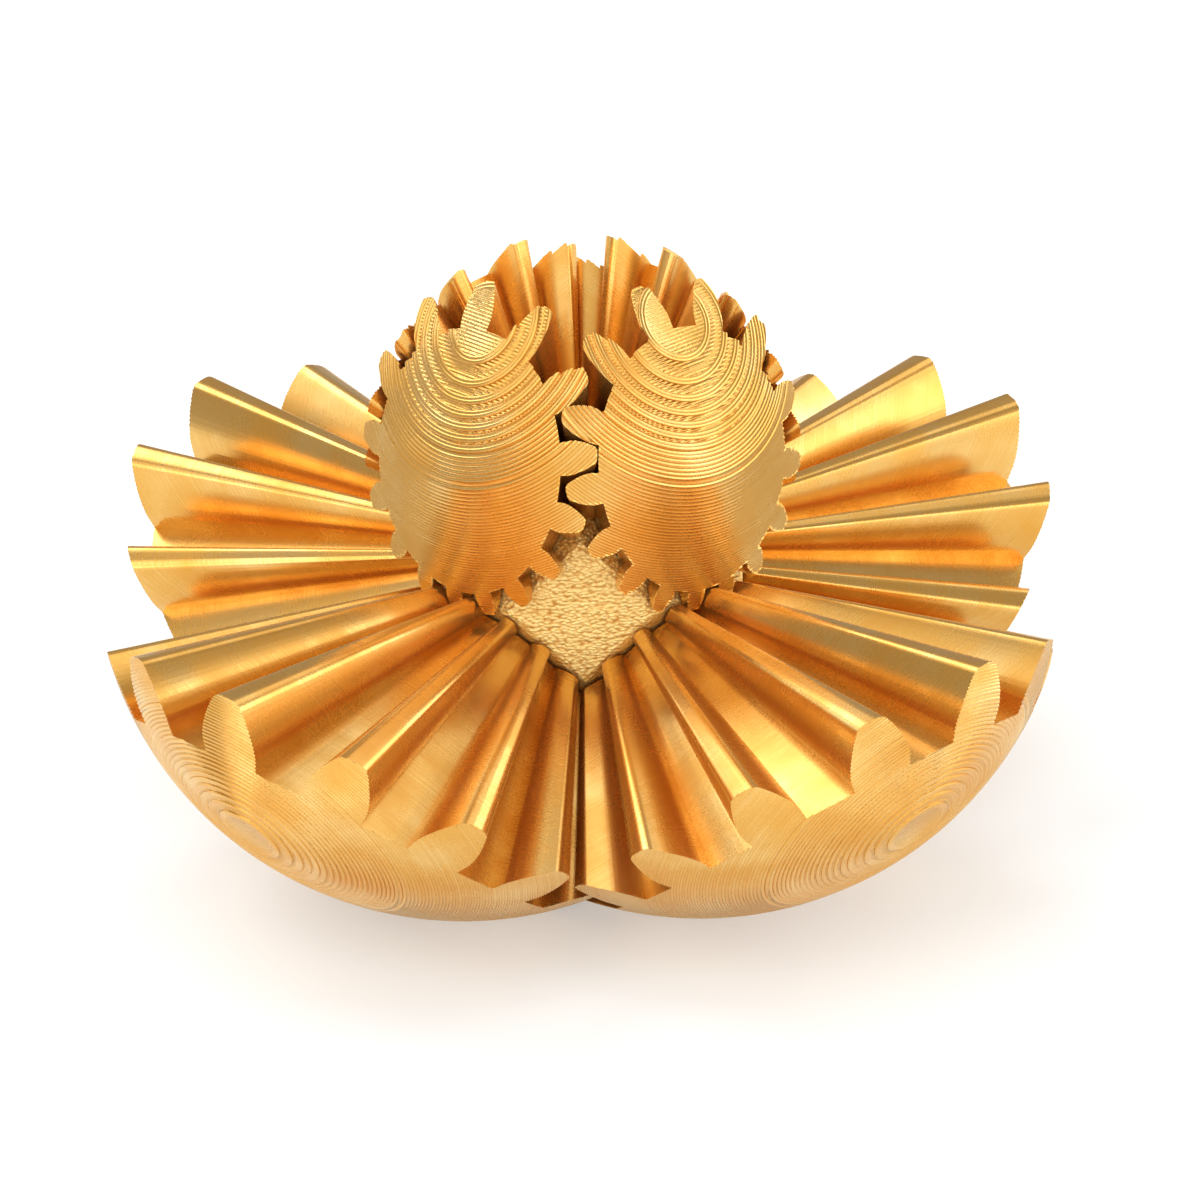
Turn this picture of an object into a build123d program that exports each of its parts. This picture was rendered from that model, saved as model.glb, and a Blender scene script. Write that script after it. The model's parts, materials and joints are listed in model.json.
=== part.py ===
"""Gear ball: eight bevel gears snapped on a truncated octahedral core, shown opened out.

Every gear axis is a body diagonal of a cube and every pitch cone has its apex at the core's centre,
so each gear meshes with its three neighbours and all eight turn together, alternate ones opposite ways.
Turned to "closed", the outer ends of the gears are all parts of one sphere whose centre lies below the
core's centre. Millimetres and degrees, +Z up, origin on the table under the core's centre.
"""
from build123d import *
from math import acos, asin, cos, degrees, pi, radians, sin, sqrt, tan
import os

# Ball and pose
BALL_RADIUS = 42.5          # of the closed ball
DOME_OFFSET = 22.7          # how far the ball's centre lies below the core's centre when closed
OPEN_TURN = 187.0           # turn of every gear from closed to the modelled rest pose

# Teeth, as angles at the common apex
TEETH = 15
PITCH_CONE = degrees(asin(1 / sqrt(3)))   # half the angle between neighbouring diagonals
ADDENDUM = 3.9
DEDENDUM = 4.25
PRESSURE_ANGLE = 20.0
SIDE_PLAY = 0.55            # taken off each flank, as a turn about the gear's axis
CLOSED_PHASE = 3.4          # turn of the teeth from the mesh line when the ball is closed
FLANK_POINTS = 6

# Core
CORE_SQUARE_DISTANCE = 18.3       # centre to a square face
CORE_HEXAGON_DISTANCE = 15.5      # centre to a hexagonal face, which carries a gear
CORE_EDGE_CHAMFER = 0.35

# Gears and their sockets
GEAR_FACE_GAP = 0.4
SOCKET_RADIUS = 2.8
SOCKET_DEPTH = 6.8
SOCKET_GROOVE_RADIUS = 3.3
SOCKET_GROOVE_LENGTH = 2.4
SOCKET_GROOVE_FROM_FLOOR = 0.5
SOCKET_LEAD_IN = 0.4

# Snap pins, two split halves end to end
PIN_RADIUS = 2.74
PIN_FLAT_WIDTH = 4.2        # across the two flats
PIN_LIP_RADIUS = 3.14
PIN_LIP_LENGTH = 1.1
PIN_TIP_LENGTH = 0.9
PIN_TIP_RADIUS = 2.1
PIN_SLOT_WIDTH = 1.1
PIN_SLOT_DEPTH = 5.2
PIN_END_PLAY = 0.3          # at the gear's end; the other end stands on the floor of the core's socket

CORNERS = {
    "upper_front_left": (-1, -1, 1),
    "upper_front_right": (1, -1, 1),
    "upper_back_left": (-1, 1, 1),
    "upper_back_right": (1, 1, 1),
    "lower_front_left": (-1, -1, -1),
    "lower_front_right": (1, -1, -1),
    "lower_back_left": (-1, 1, -1),
    "lower_back_right": (1, 1, -1),
}

PITCH_ANGLE = 360 / TEETH
TIP_CONE = PITCH_CONE + ADDENDUM
ROOT_CONE = PITCH_CONE - DEDENDUM
BASE_CONE = degrees(asin(sin(radians(PITCH_CONE)) * cos(radians(PRESSURE_ANGLE))))
GEAR_FACE_DISTANCE = CORE_HEXAGON_DISTANCE + GEAR_FACE_GAP
DOME_RISE = -DOME_OFFSET * (1 + 2 * cos(radians(OPEN_TURN))) / 3
CORE_HEIGHT = BALL_RADIUS - DOME_RISE     # the four lower domes rest on the table


def turning_sense(corner):
    """+1 or -1: neighbouring gears turn opposite ways about their outward axes."""
    x, y, z = corner
    return x * y * z


def corner_frame(corner):
    """Frame at the core's centre: Z outward along the gear's axis, X towards the gear above or below."""
    x, y, z = corner
    outward = Vector(x, y, z).normalized()
    neighbour = Vector(x, y, -z).normalized()
    towards = (neighbour - outward * outward.dot(neighbour)).normalized()
    return Plane(origin=(0, 0, CORE_HEIGHT), x_dir=towards, z_dir=outward)


def involute_turn(cone):
    """Turn of a spherical involute between the base cone and a wider cone."""
    base = radians(BASE_CONE)
    wide = radians(cone)
    rolled = acos(min(1, cos(wide) / cos(base))) / sin(base)
    return degrees(rolled - acos(min(1, tan(base) / tan(wide))))


def half_tooth(cone):
    """Half a tooth's thickness at a cone, as a turn about the gear's axis."""
    return PITCH_ANGLE / 4 + involute_turn(PITCH_CONE) - involute_turn(cone) - SIDE_PLAY


def on_cone(cone, turn, height):
    """Point where a cone's generator meets the plane at a height above the apex."""
    radius = height * tan(radians(cone))
    return Vector(radius * cos(radians(turn)), radius * sin(radians(turn)), height)


def arc_on_cone(cone, start, end, height):
    return ThreePointArc(*[on_cone(cone, turn, height) for turn in (start, (start + end) / 2, end)])


def tooth_edges(centre, height):
    """One tooth and the root land after it, in a plane square to the gear's axis."""
    span = TIP_CONE - BASE_CONE
    cones = [BASE_CONE + span * i / (FLANK_POINTS - 1) for i in range(FLANK_POINTS)]
    foot = half_tooth(BASE_CONE)
    crest = half_tooth(TIP_CONE)
    rising = [on_cone(cone, centre - half_tooth(cone), height) for cone in cones]
    falling = [on_cone(cone, centre + half_tooth(cone), height) for cone in reversed(cones)]
    return [
        Line(on_cone(ROOT_CONE, centre - foot, height), rising[0]),
        Spline(rising),
        arc_on_cone(TIP_CONE, centre - crest, centre + crest, height),
        Spline(falling),
        Line(falling[-1], on_cone(ROOT_CONE, centre + foot, height)),
        arc_on_cone(ROOT_CONE, centre + foot, centre + PITCH_ANGLE - foot, height),
    ]


def tooth_section(height):
    edges = []
    for tooth in range(TEETH):
        edges += tooth_edges(tooth * PITCH_ANGLE, height)
    return Face(Wire(edges))


def toothed_cone():
    """Toothed cone from the gear's inner face to beyond the ball, a tooth centred on local X."""
    far = 2 * BALL_RADIUS
    return loft([tooth_section(GEAR_FACE_DISTANCE), tooth_section(far)], ruled=True)


def socket(depth):
    """Blind snap socket from the local XY plane up to its floor, to be cut away."""
    groove_start = depth - SOCKET_GROOVE_FROM_FLOOR - SOCKET_GROOVE_LENGTH
    upward = (Align.CENTER, Align.CENTER, Align.MIN)
    bore = Cylinder(SOCKET_RADIUS, depth, align=upward)
    groove = Pos(0, 0, groove_start) * Cylinder(SOCKET_GROOVE_RADIUS, SOCKET_GROOVE_LENGTH, align=upward)
    mouth = Cone(SOCKET_RADIUS + SOCKET_LEAD_IN, SOCKET_RADIUS, SOCKET_LEAD_IN, align=upward)
    return bore + groove + mouth


def gear(corner, cone):
    """Bevel gear at a corner: its outer end is the ball's surface, turned with it from closed."""
    frame = corner_frame(corner)
    sense = turning_sense(corner)
    mesh = 0 if sense > 0 else PITCH_ANGLE / 2
    phase = mesh + sense * (CLOSED_PHASE + OPEN_TURN - PITCH_ANGLE * round(OPEN_TURN / PITCH_ANGLE))
    axis = Axis(frame.origin, frame.z_dir)
    closed_centre = frame.origin - Vector(0, 0, DOME_OFFSET)
    centre = (Pos(*closed_centre) * Vertex(0, 0, 0)).rotate(axis, sense * OPEN_TURN).center()
    dome = Pos(*centre) * Sphere(BALL_RADIUS)
    body = frame.location * Rot(0, 0, phase) * cone & dome
    return body - frame.location * Pos(0, 0, GEAR_FACE_DISTANCE) * socket(SOCKET_DEPTH)


def core():
    """Truncated octahedron with a snap socket in each hexagonal face."""
    side = 2 * CORE_SQUARE_DISTANCE
    block = Pos(0, 0, CORE_HEIGHT) * Box(side, side, side)
    for corner in CORNERS.values():
        frame = corner_frame(corner)
        block = split(block, frame.offset(CORE_HEXAGON_DISTANCE), keep=Keep.BOTTOM)
    block = chamfer(block.edges(), CORE_EDGE_CHAMFER)
    inward_socket = Pos(0, 0, CORE_HEXAGON_DISTANCE) * Rot(180, 0, 0) * socket(SOCKET_DEPTH - PIN_END_PLAY)
    for corner in CORNERS.values():
        block -= corner_frame(corner).location * inward_socket
    return block


def half_pin():
    """Pin half from the middle outward along +Z: shaft, snap lip and tapered tip, split by a slot."""
    length = SOCKET_DEPTH + GEAR_FACE_GAP / 2 - PIN_END_PLAY
    lip_top = length - PIN_TIP_LENGTH
    outline = Polyline(
        (0, 0),
        (PIN_RADIUS, 0),
        (PIN_RADIUS, lip_top - PIN_LIP_LENGTH),
        (PIN_LIP_RADIUS, lip_top - PIN_LIP_LENGTH / 2),
        (PIN_LIP_RADIUS, lip_top),
        (PIN_TIP_RADIUS, length),
        (0, length),
        (0, 0),
    )
    profile = Plane.XZ * make_face(outline)
    turned = revolve(profile, Axis.Z, 360)
    slot = Pos(0, 0, length) * Box(PIN_SLOT_WIDTH, 4 * PIN_RADIUS, 2 * PIN_SLOT_DEPTH)
    return turned - slot


def snap_pin():
    """Double-ended snap pin along local Z, centred in the gap between core and gear."""
    upper = half_pin()
    whole = upper + Rot(180, 0, 0) * upper
    flats = Box(4 * PIN_RADIUS, PIN_FLAT_WIDTH, 4 * SOCKET_DEPTH)
    return Pos(0, 0, CORE_HEXAGON_DISTANCE + GEAR_FACE_GAP / 2) * (whole & flats)


def build():
    """All nodes by name."""
    nodes = {"core": core()}
    cone = toothed_cone()
    pin = snap_pin()
    for name, corner in CORNERS.items():
        nodes[f"gear_{name}"] = gear(corner, cone)
        nodes[f"snap_pin_{name}"] = corner_frame(corner).location * pin
    return nodes


os.makedirs("parts", exist_ok=True)
for node, shape in build().items():
    export_step(shape, f"parts/{node}.step")
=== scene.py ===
"""Looks of the gear ball: printed gears with real layer steps, silk gold plastic, floor, light, camera."""
import json
from math import acos, asin, cos, pi, radians, sin, sqrt, tan
import bpy
import numpy as np
from mathutils import Matrix, Vector


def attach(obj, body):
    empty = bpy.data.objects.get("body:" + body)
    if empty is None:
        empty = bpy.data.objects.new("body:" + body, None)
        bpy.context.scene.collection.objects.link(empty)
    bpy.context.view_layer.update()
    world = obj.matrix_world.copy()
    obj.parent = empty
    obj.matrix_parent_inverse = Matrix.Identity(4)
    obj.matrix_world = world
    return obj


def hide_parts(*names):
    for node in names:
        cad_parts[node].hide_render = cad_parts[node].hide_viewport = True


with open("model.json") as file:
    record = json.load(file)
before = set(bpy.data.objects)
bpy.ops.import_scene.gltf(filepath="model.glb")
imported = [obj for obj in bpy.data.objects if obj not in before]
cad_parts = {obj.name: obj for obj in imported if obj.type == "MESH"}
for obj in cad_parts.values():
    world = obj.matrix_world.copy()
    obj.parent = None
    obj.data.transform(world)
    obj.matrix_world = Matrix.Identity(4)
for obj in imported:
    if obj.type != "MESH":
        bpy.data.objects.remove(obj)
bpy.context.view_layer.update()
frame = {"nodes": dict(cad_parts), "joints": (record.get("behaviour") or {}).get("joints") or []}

# Lengths are in metres and angles in radians throughout.

# The part, as in the CAD
BALL_RADIUS = 0.0425
DOME_OFFSET = 0.0227            # how far the closed ball's centre lies below the core's
OPEN_TURN = radians(187.0)      # turn of every gear from closed to the rest pose
CLOSED_PHASE = radians(3.4)
TEETH = 15
PITCH = 2 * pi / TEETH
PITCH_CONE = asin(1 / sqrt(3))
TIP_CONE = PITCH_CONE + radians(3.9)
ROOT_CONE = PITCH_CONE - radians(4.25)
BASE_CONE = asin(sin(PITCH_CONE) * cos(radians(20.0)))
SIDE_PLAY = radians(0.55)
GEAR_FACE = 0.0159              # from the core's centre to a gear's inner face
SOCKET_RADIUS = 0.0028
SOCKET_DEPTH = 0.0068

# The print
LAYER = 0.0002
LINE = 0.00042                  # width of a printed line
BEAD = 0.00005                  # how far the side of a printed line bulges
FLAT_BEAD = 0.00003             # the same on the upper gears, where the lines show less
TERRACE_BEAD = 0.00009          # the same at the rim of a terrace, which is two layers high
TERRACE_DEPTH = 0.0026          # how far below a ball's pole the upper gears' terraces reach
TOP_BEAD = 0.00006              # how far the top of a printed line bulges on a level strip
JITTER = 0.000012               # spread of the layers' radii
LAYERED_ANGLE = radians(74)     # from a ball's pole to its last modelled layer
SEED = 7

# How finely it is modelled
RING_SEGMENTS = 256
SOCKET_SEGMENTS = 48
PLAIN_RINGS = 24
CREST_STEPS = 3
CORNER_STEPS = 5
FLANK_STEPS = 10
LAND_STEPS = 3
CREST_ROUNDING = 0.021          # of the crests' corners, as a share of the distance from the apex
SOCKET_OVERLAP = 0.001          # how far the socket's cutter starts below a gear's face
SHARP_ANGLE = radians(28)

# Material slots of a gear
FLANK, DOME, TREAD = 0, 1, 2

CENTRE = Vector(frame["joints"][0]["pos_m"])


# ---------------------------------------------------------------- meshes

def link(obj):
    bpy.context.scene.collection.objects.link(obj)


def mesh_object(name, points, faces):
    mesh = bpy.data.meshes.new(name)
    mesh.from_pydata([tuple(p) for p in points], [], faces)
    mesh.update()
    obj = bpy.data.objects.new(name, mesh)
    link(obj)
    return obj


def skin(ring_count, ring_length):
    """Faces of a closed skin over rings of equal length, a flat cap at each end."""
    index = np.arange(ring_count * ring_length).reshape(ring_count, ring_length)
    low, high = index[:-1], index[1:]
    quads = np.stack([low, np.roll(low, -1, 1), np.roll(high, -1, 1), high], -1)
    return quads.reshape(-1, 4).tolist() + [index[0][::-1].tolist(), index[-1].tolist()]


def stack(name, rings, inside_out=False):
    """Closed object over a list of rings, each an array of points."""
    faces = skin(len(rings), len(rings[0]))
    if inside_out:
        faces = [face[::-1] for face in faces]
    return mesh_object(name, np.concatenate(rings), faces)


def lathe(name, outline, centre, segments, inside_out=False):
    """Closed object of revolution about an upright axis, from rows of radius and height."""
    turn = np.arange(segments) * 2 * pi / segments
    circle = np.c_[np.cos(turn), np.sin(turn)]
    middle = [centre.x, centre.y]
    rings = [np.c_[circle * row[0] + middle, np.full(segments, row[1])] for row in outline]
    return stack(name, rings, inside_out)


def apply_boolean(obj, tool, operation):
    """Cut obj by a tool. Both hold the same material slots, so that every face keeps its own."""
    step = obj.modifiers.new("cut", "BOOLEAN")
    step.operation = operation
    step.object = tool
    step.solver = "MANIFOLD"
    depsgraph = bpy.context.evaluated_depsgraph_get()
    mesh = bpy.data.meshes.new_from_object(obj.evaluated_get(depsgraph), depsgraph=depsgraph)
    obj.modifiers.clear()
    obj.data = mesh
    bpy.data.objects.remove(tool)


# ---------------------------------------------------------------- teeth

def involute_turn(cone):
    """Turn of the spherical involute where it crosses a cone."""
    rolled = acos(min(1, cos(cone) / cos(BASE_CONE))) / sin(BASE_CONE)
    return rolled - acos(min(1, tan(BASE_CONE) / tan(cone)))


def half_tooth(cone):
    """Half the angle that a tooth takes up on a cone."""
    return PITCH / 4 + involute_turn(PITCH_CONE) - involute_turn(cone) - SIDE_PLAY


def polar(cone, turn):
    """Point on a cone in the plane one unit from the apex."""
    return Vector((tan(cone) * cos(turn), tan(cone) * sin(turn)))


def rounded_corner(start, corner, end):
    points = []
    for i in range(CORNER_STEPS + 1):
        t = i / CORNER_STEPS
        points.append(start * (1 - t) ** 2 + corner * 2 * t * (1 - t) + end * t * t)
    return points


def half_profile():
    """Half a tooth, from the middle of its crest to the middle of the root land after it."""
    crest_end = half_tooth(TIP_CONE)
    crest_stop = crest_end - CREST_ROUNDING / tan(TIP_CONE)
    flank_top = TIP_CONE - CREST_ROUNDING * cos(TIP_CONE) ** 2
    start, end = polar(TIP_CONE, crest_stop), polar(flank_top, half_tooth(flank_top))
    points = [polar(TIP_CONE, crest_stop * i / CREST_STEPS) for i in range(CREST_STEPS)]
    points += rounded_corner(start, polar(TIP_CONE, crest_end), end)
    for i in range(1, FLANK_STEPS + 1):
        cone = flank_top + (BASE_CONE - flank_top) * i / FLANK_STEPS
        points.append(polar(cone, half_tooth(cone)))
    foot = half_tooth(BASE_CONE)
    for share in (0.5, 1.0):
        points.append(polar(BASE_CONE + (ROOT_CONE - BASE_CONE) * share, foot))
    for i in range(1, LAND_STEPS + 1):
        points.append(polar(ROOT_CONE, foot + (PITCH / 2 - foot) * i / LAND_STEPS))
    return points


def profile():
    """The whole toothed outline one unit from the apex."""
    half = half_profile()
    tooth = [Vector((p.x, -p.y)) for p in reversed(half[1:-1])] + half
    turns = [(cos(k * PITCH), sin(k * PITCH)) for k in range(TEETH)]
    return np.array([(p.x * c - p.y * s, p.x * s + p.y * c) for c, s in turns for p in tooth])


def toothed_cone(name):
    outline = profile()
    heights = (GEAR_FACE, 2 * BALL_RADIUS)
    return stack(name, [np.c_[outline * h, np.full(len(outline), h)] for h in heights])


# ---------------------------------------------------------------- layered domes

# Rows of an outline are radius, height and the slot of the faces below them.

# A printed line's top, as shares of its width and of its bulge
LINE_TOP = ((0.06, 0.0), (0.25, 0.8), (0.5, 1.0), (0.75, 0.8), (0.94, 0.0))


def tread(inner, outer, top):
    """Rows across a level strip: flat fill, then the two outer lines of the layer as beads."""
    beads = min(2, int((outer - inner) / LINE))
    start = outer - beads * LINE
    rows = [(inner, top, TREAD)] if start > inner + LINE / 3 else []
    for bead in range(beads):
        for across, lift in LINE_TOP:
            rows.append((start + (bead + across) * LINE, top + lift * TOP_BEAD, DOME))
    return rows


def side(radius, top, height, bead, rounded):
    """Rows down the bulging side of one layer, or of a terrace, whose rim is rounded."""
    rows = [(radius - bead, top, DOME)]
    if rounded:
        rows.append((radius - 0.4 * bead, top - 0.12 * height, DOME))
    rows.append((radius, top - height / 2, DOME))
    rows.append((radius - bead, top - height, DOME))
    return rows


def plain_cap(centre_height, last_height):
    """Rows of the ball below its last printed layer, which no gear shows."""
    last = acos((last_height - centre_height) / BALL_RADIUS)
    rows = []
    for i in range(1, PLAIN_RINGS):
        angle = last + (pi - last) * i / PLAIN_RINGS
        height = centre_height + BALL_RADIUS * cos(angle)
        rows.append((BALL_RADIUS * sin(angle), height, DOME))
    return rows


def layered_outline(centre_height, terrace_depth):
    """Outline of the ball that ends a gear, from its pole down: printed layers, then plain."""
    rng = np.random.default_rng(SEED)
    rows, previous = [], 0.0
    layer = int((centre_height + BALL_RADIUS - GEAR_FACE) / LAYER)
    lowest_lift = BALL_RADIUS * cos(LAYERED_ANGLE)
    line_bead = FLAT_BEAD if terrace_depth else BEAD
    while GEAR_FACE + layer * LAYER - centre_height > lowest_lift:
        top = GEAR_FACE + layer * LAYER
        terrace = BALL_RADIUS - (top - centre_height) < terrace_depth
        layers, bead = (2, TERRACE_BEAD) if terrace else (1, line_bead)
        height = layers * LAYER
        lift = top - height / 2 - centre_height
        layer -= layers
        if lift >= BALL_RADIUS:
            continue
        radius = sqrt(BALL_RADIUS ** 2 - lift ** 2) + rng.normal(0, JITTER)
        inner = radius - bead
        if not rows:
            rows.append((LINE / 20, top, TREAD))
        if inner > previous + LINE:
            rows += tread(max(previous, LINE / 10), inner, top)
        rows += side(radius, top, height, bead, terrace)
        previous = inner
    return rows + plain_cap(centre_height, rows[-1][1])


def paint_ball(ball, outline, segments):
    """Slots of a layered ball's faces, ring by ring, then of its two caps."""
    slots = np.array([row[2] for row in outline[:-1]], np.int32)
    index = np.repeat(slots, segments).tolist() + [TREAD, DOME]
    ball.data.polygons.foreach_set("material_index", index)


# ---------------------------------------------------------------- gears

def shape_gear(dome_centre, terrace_depth, materials):
    """Mesh of a gear in its own frame: toothed cone cut by the layered ball, with its blind socket."""
    outline = layered_outline(dome_centre.z, terrace_depth)
    socket_rows = [(SOCKET_RADIUS, GEAR_FACE - SOCKET_OVERLAP), (SOCKET_RADIUS, GEAR_FACE + SOCKET_DEPTH)]
    gear = toothed_cone("gear_shape")
    ball = lathe("ball", outline, dome_centre, RING_SEGMENTS, inside_out=True)
    socket = lathe("socket", socket_rows, Vector((0, 0, 0)), SOCKET_SEGMENTS)
    for obj in (gear, ball, socket):
        for material in materials:
            obj.data.materials.append(material)
    paint_ball(ball, outline, RING_SEGMENTS)
    apply_boolean(gear, ball, "INTERSECT")
    apply_boolean(gear, socket, "DIFFERENCE")
    mesh = gear.data
    sharpen(mesh)
    bpy.data.objects.remove(gear)
    return mesh


def sharpen(mesh):
    """Smooth shading, with sharp edges where the dome meets the teeth and at the teeth's own corners."""
    mesh.set_sharp_from_angle(angle=SHARP_ANGLE)
    edge_count = len(mesh.edges)
    slots = np.zeros(len(mesh.polygons), np.int32)
    mesh.polygons.foreach_get("material_index", slots)
    loop_edge = np.zeros(len(mesh.loops), np.int32)
    mesh.loops.foreach_get("edge_index", loop_edge)
    totals = np.zeros(len(mesh.polygons), np.int32)
    mesh.polygons.foreach_get("loop_total", totals)
    on_dome = np.repeat(slots != FLANK, totals)
    dome_sides = np.bincount(loop_edge, weights=on_dome, minlength=edge_count)
    sharp = np.zeros(edge_count, bool)
    mesh.attributes["sharp_edge"].data.foreach_get("value", sharp)
    sharp[dome_sides == 2] = False
    sharp[dome_sides == 1] = True
    mesh.attributes["sharp_edge"].data.foreach_set("value", sharp)


def gear_frame(axis):
    """Rotation from a gear's own frame to the row's: Z outward, X towards the gear above or below."""
    outward = Vector(axis).normalized()
    neighbour = Vector((outward.x, outward.y, -outward.z))
    towards = (neighbour - outward * outward.dot(neighbour)).normalized()
    return Matrix((towards, outward.cross(towards), outward)).transposed()


def gear_mesh(axis, sense, upper):
    """Mesh of one gear at rest, round the core's centre and in the row's axes."""
    tilt = gear_frame(axis)
    phase = sense * (CLOSED_PHASE + OPEN_TURN) + (0 if sense > 0 else PITCH / 2)
    own = tilt @ Matrix.Rotation(phase, 3, "Z")
    opened = Matrix.Rotation(sense * OPEN_TURN, 3, axis)
    dome_centre = own.transposed() @ opened @ Vector((0, 0, -DOME_OFFSET))
    materials = [flank_material(tilt), dome_material(tilt), tread_material(tilt)]
    mesh = shape_gear(dome_centre, TERRACE_DEPTH if upper else 0.0, materials)
    mesh.transform(own.to_4x4())
    return mesh


def build_gears():
    """Eight gears from four meshes: the gears across the vertical axis are half a turn apart."""
    meshes = {}
    for joint in frame["joints"]:
        body = joint["child"]
        signs = [1 if value > 0 else -1 for value in joint["axis"]]
        sense = signs[0] * signs[1] * signs[2]
        key = (sense, signs[2])
        if key not in meshes:
            axis = Vector(joint["axis"]).normalized()
            meshes[key] = gear_mesh(axis, sense, signs[2] > 0), signs[1]
        mesh, first_side = meshes[key]
        obj = bpy.data.objects.new("printed_gear_" + body, mesh)
        link(obj)
        obj.location = CENTRE
        obj.rotation_euler.z = 0 if signs[1] == first_side else pi
        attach(obj, body)
        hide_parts("gear_" + body)


# ---------------------------------------------------------------- materials

class Nodes:
    """Short hand for building a material's node tree."""

    def __init__(self, name):
        self.material = bpy.data.materials.new(name)
        self.material.use_nodes = True
        self.tree = self.material.node_tree
        self.shader = self.tree.nodes["Principled BSDF"]

    def add(self, kind, **settings):
        node = self.tree.nodes.new(kind)
        for key, value in settings.items():
            setattr(node, key, value)
        return node

    def link(self, source, target):
        self.tree.links.new(source, target)

    def math(self, operation, first, second=None):
        node = self.add("ShaderNodeMath", operation=operation)
        for socket, value in zip(node.inputs, (first, second)):
            if value is None:
                continue
            if isinstance(value, (int, float)):
                socket.default_value = value
            else:
                self.link(value, socket)
        return node.outputs[0]

    def noise(self, vector, scale, detail=2.0, output="Fac"):
        node = self.add("ShaderNodeTexNoise")
        self.link(vector, node.inputs["Vector"])
        node.inputs["Scale"].default_value = scale
        node.inputs["Detail"].default_value = detail
        return node.outputs[output]

    def ramp(self, factor, stops):
        node = self.add("ShaderNodeValToRGB")
        elements = node.color_ramp.elements
        while len(elements) < len(stops):
            elements.new(0.5)
        for element, (place, color) in zip(elements, stops):
            element.position = place
            element.color = (*color, 1)
        self.link(factor, node.inputs[0])
        return node.outputs[0]

    def remap(self, value, low, high, to_low, to_high):
        node = self.add("ShaderNodeMapRange")
        self.link(value, node.inputs["Value"])
        node.inputs["From Min"].default_value = low
        node.inputs["From Max"].default_value = high
        node.inputs["To Min"].default_value = to_low
        node.inputs["To Max"].default_value = to_high
        return node.outputs[0]

    def place(self, tilt=None, scale=(1, 1, 1)):
        """Object coordinates turned into a gear's own frame and scaled by axis."""
        place = self.add("ShaderNodeTexCoord").outputs["Object"]
        if tilt is not None:
            turned = self.add("ShaderNodeMapping")
            turned.inputs["Rotation"].default_value = tilt.transposed().to_euler()
            self.link(place, turned.inputs["Vector"])
            place = turned.outputs[0]
        node = self.add("ShaderNodeMapping")
        self.link(place, node.inputs["Vector"])
        node.inputs["Scale"].default_value = scale
        return node.outputs[0]

    def bump(self, height, strength, distance, previous=None):
        node = self.add("ShaderNodeBump")
        node.inputs["Strength"].default_value = strength
        node.inputs["Distance"].default_value = distance
        self.link(height, node.inputs["Height"])
        if previous is not None:
            self.link(previous, node.inputs["Normal"])
        return node.outputs[0]

    def finish(self, normal, color, roughness, metallic, coat, coat_roughness):
        self.link(normal, self.shader.inputs["Normal"])
        self.link(color, self.shader.inputs["Base Color"])
        self.link(roughness, self.shader.inputs["Roughness"])
        self.shader.inputs["Metallic"].default_value = metallic
        self.shader.inputs["Coat Weight"].default_value = coat
        self.shader.inputs["Coat Roughness"].default_value = coat_roughness
        return self.material


# Silk filament
GOLD_DEEP = (0.75, 0.39, 0.08)
GOLD_MIDDLE = (0.79, 0.46, 0.13)
GOLD_PALE = (0.86, 0.58, 0.23)
LINES_ALONG = 6                 # frequency of the faint lines along themselves, per metre
LINES_ACROSS = 5000             # and from one layer to the next
CLOUD_SCALE = 120.0
GRAIN_SCALE = 2600.0
SATIN, SHINY = 0.33, 0.21       # roughness where the plastic is dull and where it is bright
DOME_FINISH = {"metallic": 0.82, "coat": 0.08, "coat_roughness": 0.3}

# Pebbled faces of the core and of the level strips
PEBBLE_SCALE = 1650.0
PEBBLE_SQUASH = (1, 1, 1.7)
WOBBLE_SCALE = 1000.0
WOBBLE = 0.0005
CORE_PALE = (0.97, 0.80, 0.38)
CORE_MIDDLE = (0.92, 0.68, 0.27)
# Painted shade: the deep gold that is put in the gaps between the pebbles
CORE_GAP_SHADE = (0.66, 0.34, 0.08)
FILL_SCALE = 2200.0


def silk(nodes, line_strength, tilt=None):
    """Colour, roughness and normal of silk filament, with faint lines across a gear's axis."""
    lines_place = nodes.place(tilt, (LINES_ALONG, LINES_ALONG, LINES_ACROSS))
    lines = nodes.noise(lines_place, 1.0, detail=1.0)
    clouds = nodes.noise(nodes.place(), CLOUD_SCALE, detail=3.0)
    mixed = nodes.math("ADD", nodes.math("MULTIPLY", lines, 0.3), nodes.math("MULTIPLY", clouds, 0.7))
    color = nodes.ramp(mixed, [(0.3, GOLD_DEEP), (0.5, GOLD_MIDDLE), (0.7, GOLD_PALE)])
    roughness = nodes.remap(mixed, 0.3, 0.7, SATIN, SHINY)
    normal = nodes.bump(lines, line_strength, 0.00003)
    grain = nodes.noise(nodes.place(), GRAIN_SCALE)
    return color, roughness, nodes.bump(grain, 0.18, 0.00002, normal)


def flank_material(tilt):
    nodes = Nodes("silk_gold_flank")
    color, roughness, normal = silk(nodes, 0.03, tilt)
    return nodes.finish(normal, color, roughness, metallic=0.88, coat=0.1, coat_roughness=0.25)


def dome_material(tilt):
    nodes = Nodes("silk_gold_dome")
    color, roughness, normal = silk(nodes, 0.15, tilt)
    return nodes.finish(normal, color, roughness, **DOME_FINISH)


def layer_parity(nodes, height):
    """1 on every second layer and 0 on the others."""
    layers = nodes.math("DIVIDE", nodes.math("SUBTRACT", height, GEAR_FACE), LAYER)
    return nodes.math("PINGPONG", nodes.math("FLOOR", nodes.math("ADD", layers, 0.5)), 1.0)


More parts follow.
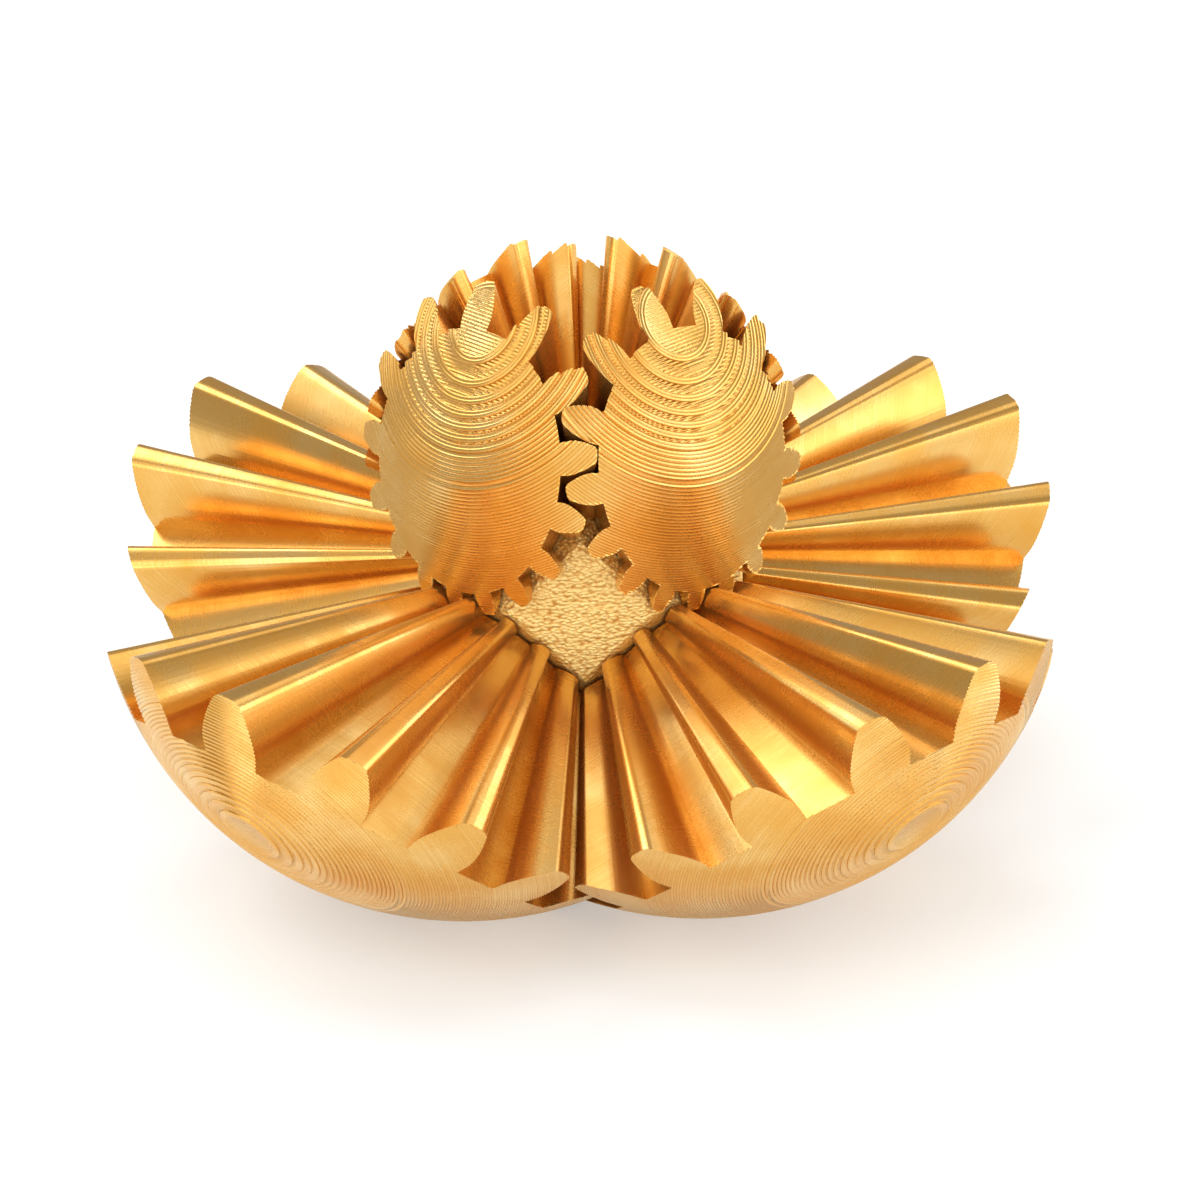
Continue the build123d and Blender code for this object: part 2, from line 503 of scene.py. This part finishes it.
def tread_material(tilt):
    """Level strips, filled by lines that run one way on one layer and across on the next."""
    nodes = Nodes("silk_gold_tread")
    color, roughness, normal = silk(nodes, 0.0, tilt)
    axes = nodes.add("ShaderNodeSeparateXYZ")
    nodes.link(nodes.place(tilt), axes.inputs[0])
    x, y, z = axes.outputs
    odd = layer_parity(nodes, z)
    even = nodes.math("SUBTRACT", 1.0, odd)
    one_way = nodes.math("SINE", nodes.math("MULTIPLY", x, 2 * pi / LINE))
    other_way = nodes.math("SINE", nodes.math("MULTIPLY", y, 2 * pi / LINE))
    one_way = nodes.math("MULTIPLY", one_way, odd)
    other_way = nodes.math("MULTIPLY", other_way, even)
    filled = nodes.bump(nodes.math("ADD", one_way, other_way), 0.8, 0.00004, normal)
    pebbles = nodes.noise(nodes.place(), FILL_SCALE, detail=1.0)
    filled = nodes.bump(pebbles, 0.6, 0.00012, filled)
    return nodes.finish(filled, color, roughness, **DOME_FINISH)


def wobbled(nodes, place):
    """Coordinates shifted by noise, so that the pebbles are not round."""
    shift = nodes.add("ShaderNodeVectorMath", operation="MULTIPLY_ADD")
    nodes.link(nodes.noise(place, WOBBLE_SCALE, output="Color"), shift.inputs[0])
    shift.inputs[1].default_value = (WOBBLE, WOBBLE, WOBBLE)
    nodes.link(place, shift.inputs[2])
    return shift.outputs[0]


def core_material():
    """Pebbles as an over-filled top layer has them, pale on top, with painted shade of deep gold in the
    gaps between them.
    """
    nodes = Nodes("pebbled_gold")
    normal = silk(nodes, 0.1)[2]
    cells = nodes.add("ShaderNodeTexVoronoi", feature="SMOOTH_F1")
    nodes.link(wobbled(nodes, nodes.place(scale=PEBBLE_SQUASH)), cells.inputs["Vector"])
    cells.inputs["Scale"].default_value = PEBBLE_SCALE
    cells.inputs["Smoothness"].default_value = 0.35
    distance = cells.outputs["Distance"]
    pebbles = nodes.bump(nodes.math("SUBTRACT", 1.0, distance), 0.8, 0.0003, normal)
    # Painted shade: the colour deepens from the pebbles' pale tops to deep gold in the gaps between them
    color = nodes.ramp(distance, [(0.1, CORE_PALE), (0.55, CORE_MIDDLE), (0.9, CORE_GAP_SHADE)])
    roughness = nodes.remap(distance, 0.1, 0.8, 0.42, 0.55)
    return nodes.finish(pebbles, color, roughness, metallic=0.45, coat=0.15, coat_roughness=0.3)


def paint_cad_nodes():
    """Materials of the core and the pins, whose shapes stay the CAD's."""
    core, pins = core_material(), flank_material(None)
    for name, node in frame["nodes"].items():
        if name.startswith("gear_"):
            continue
        node.data.materials.clear()
        node.data.materials.append(core if name == "core" else pins)


# ---------------------------------------------------------------- studio

FLOOR_HALF = 4
FLOOR_GREYS = (0.61, 0.63)
# Painted light: the floor glows bluish white, lifting the shadow under the toy and lighting the toy from
# below
FLOOR_GLOW = (0.93, 0.98, 1, 1)
FLOOR_GLOW_STRENGTH = 0.34
WORLD_STRENGTH = 0.32
LIGHT_DISTANCE = 1.3

# Soft boxes: name, azimuth, elevation, size, radiance. Azimuth 0 is in front of the toy, 90 on its right.
LOW, HIGH, SQUARE = (0.9, 0.55), (0.8, 0.7), (0.9, 0.9)
SOFT_BOXES = (
    ("front_low", 0, 14, LOW, 1.5),
    ("front_right_low", 45, 14, LOW, 2.0),
    ("right_low", 90, 14, LOW, 2.1),
    ("back_right_low", 135, 14, LOW, 2.7),
    ("back_left_low", 225, 14, LOW, 1.7),
    ("back_left_high", 225, 45, HIGH, 2.6),
    ("front_left_low", 315, 14, LOW, 1.9),
    ("front_left_high", 315, 45, HIGH, 1.6),
    ("back_right_high", 135, 45, HIGH, 0.9),
    ("top", 0, 89, SQUARE, 1.2),
    ("front_high", 0, 50, HIGH, 0.6),
)


def build_floor():
    corners = [(x * FLOOR_HALF, y * FLOOR_HALF, 0) for x, y in ((-1, -1), (1, -1), (1, 1), (-1, 1))]
    floor = mesh_object("floor", corners, [(0, 1, 2, 3)])
    nodes = Nodes("white_floor")
    tint = nodes.noise(nodes.place(), 3.0)
    stops = [(place, (grey, grey, grey)) for place, grey in zip((0.3, 0.7), FLOOR_GREYS)]
    nodes.link(nodes.ramp(tint, stops), nodes.shader.inputs["Base Color"])
    nodes.shader.inputs["Roughness"].default_value = 0.9
    nodes.shader.inputs["Specular IOR Level"].default_value = 0.1
    # Painted light: the floor's glow lifts the shadow under the toy
    nodes.shader.inputs["Emission Color"].default_value = FLOOR_GLOW
    nodes.shader.inputs["Emission Strength"].default_value = FLOOR_GLOW_STRENGTH
    floor.data.materials.append(nodes.material)


def soft_box(name, azimuth, elevation, size, radiance):
    """Area light that faces the toy and that the camera does not see."""
    light = bpy.data.lights.new(name, "AREA")
    light.shape = "RECTANGLE"
    light.size, light.size_y = size
    light.energy = radiance * pi * size[0] * size[1]
    turn, rise = radians(azimuth), radians(elevation)
    direction = Vector((sin(turn) * cos(rise), -cos(turn) * cos(rise), sin(rise)))
    obj = bpy.data.objects.new(name, light)
    obj.location = CENTRE + direction * LIGHT_DISTANCE
    obj.rotation_euler = (-direction).to_track_quat("-Z", "Y").to_euler()
    obj.visible_camera = False
    link(obj)


def build_light():
    scene = bpy.context.scene
    world = bpy.data.worlds.new("studio")
    world.use_nodes = True
    background = world.node_tree.nodes["Background"]
    background.inputs["Color"].default_value = (1, 1, 1, 1)
    background.inputs["Strength"].default_value = WORLD_STRENGTH
    scene.world = world
    for row in SOFT_BOXES:
        soft_box(*row)
    scene.view_settings.view_transform = "Standard"
    scene.view_settings.look = "Medium High Contrast"


# The photograph's camera, fitted to the gears' outlines
CAMERA_AZIMUTH = radians(0.92)
CAMERA_ELEVATION = radians(23.08)
CAMERA_ROLL = radians(-1.05)
CAMERA_DISTANCE = 35.6 * BALL_RADIUS
BALL_SHARE = 366.5 / 1200       # the ball's radius as a share of the picture's width, at the centre
AIM_RIGHT = 0.0426 * BALL_RADIUS
AIM_DOWN = 0.1315 * BALL_RADIUS


def build_camera():
    camera = bpy.data.cameras.new("camera")
    camera.sensor_width = 36
    camera.lens = BALL_SHARE * camera.sensor_width * CAMERA_DISTANCE / BALL_RADIUS
    camera.clip_start, camera.clip_end = 0.01, 50
    level = cos(CAMERA_ELEVATION)
    back = Vector((sin(CAMERA_AZIMUTH) * level, -cos(CAMERA_AZIMUTH) * level, sin(CAMERA_ELEVATION)))
    right = Vector((cos(CAMERA_AZIMUTH), sin(CAMERA_AZIMUTH), 0))
    up = back.cross(right)
    roll = Matrix.Rotation(CAMERA_ROLL, 3, back)
    right, up = roll @ right, roll @ up
    target = CENTRE + right * AIM_RIGHT - up * AIM_DOWN
    turned = Matrix((right, up, back)).transposed().to_4x4()
    obj = bpy.data.objects.new("camera", camera)
    obj.matrix_world = Matrix.Translation(target + back * CAMERA_DISTANCE) @ turned
    link(obj)
    bpy.context.scene.camera = obj


build_gears()
paint_cad_nodes()
build_floor()
build_light()
build_camera()
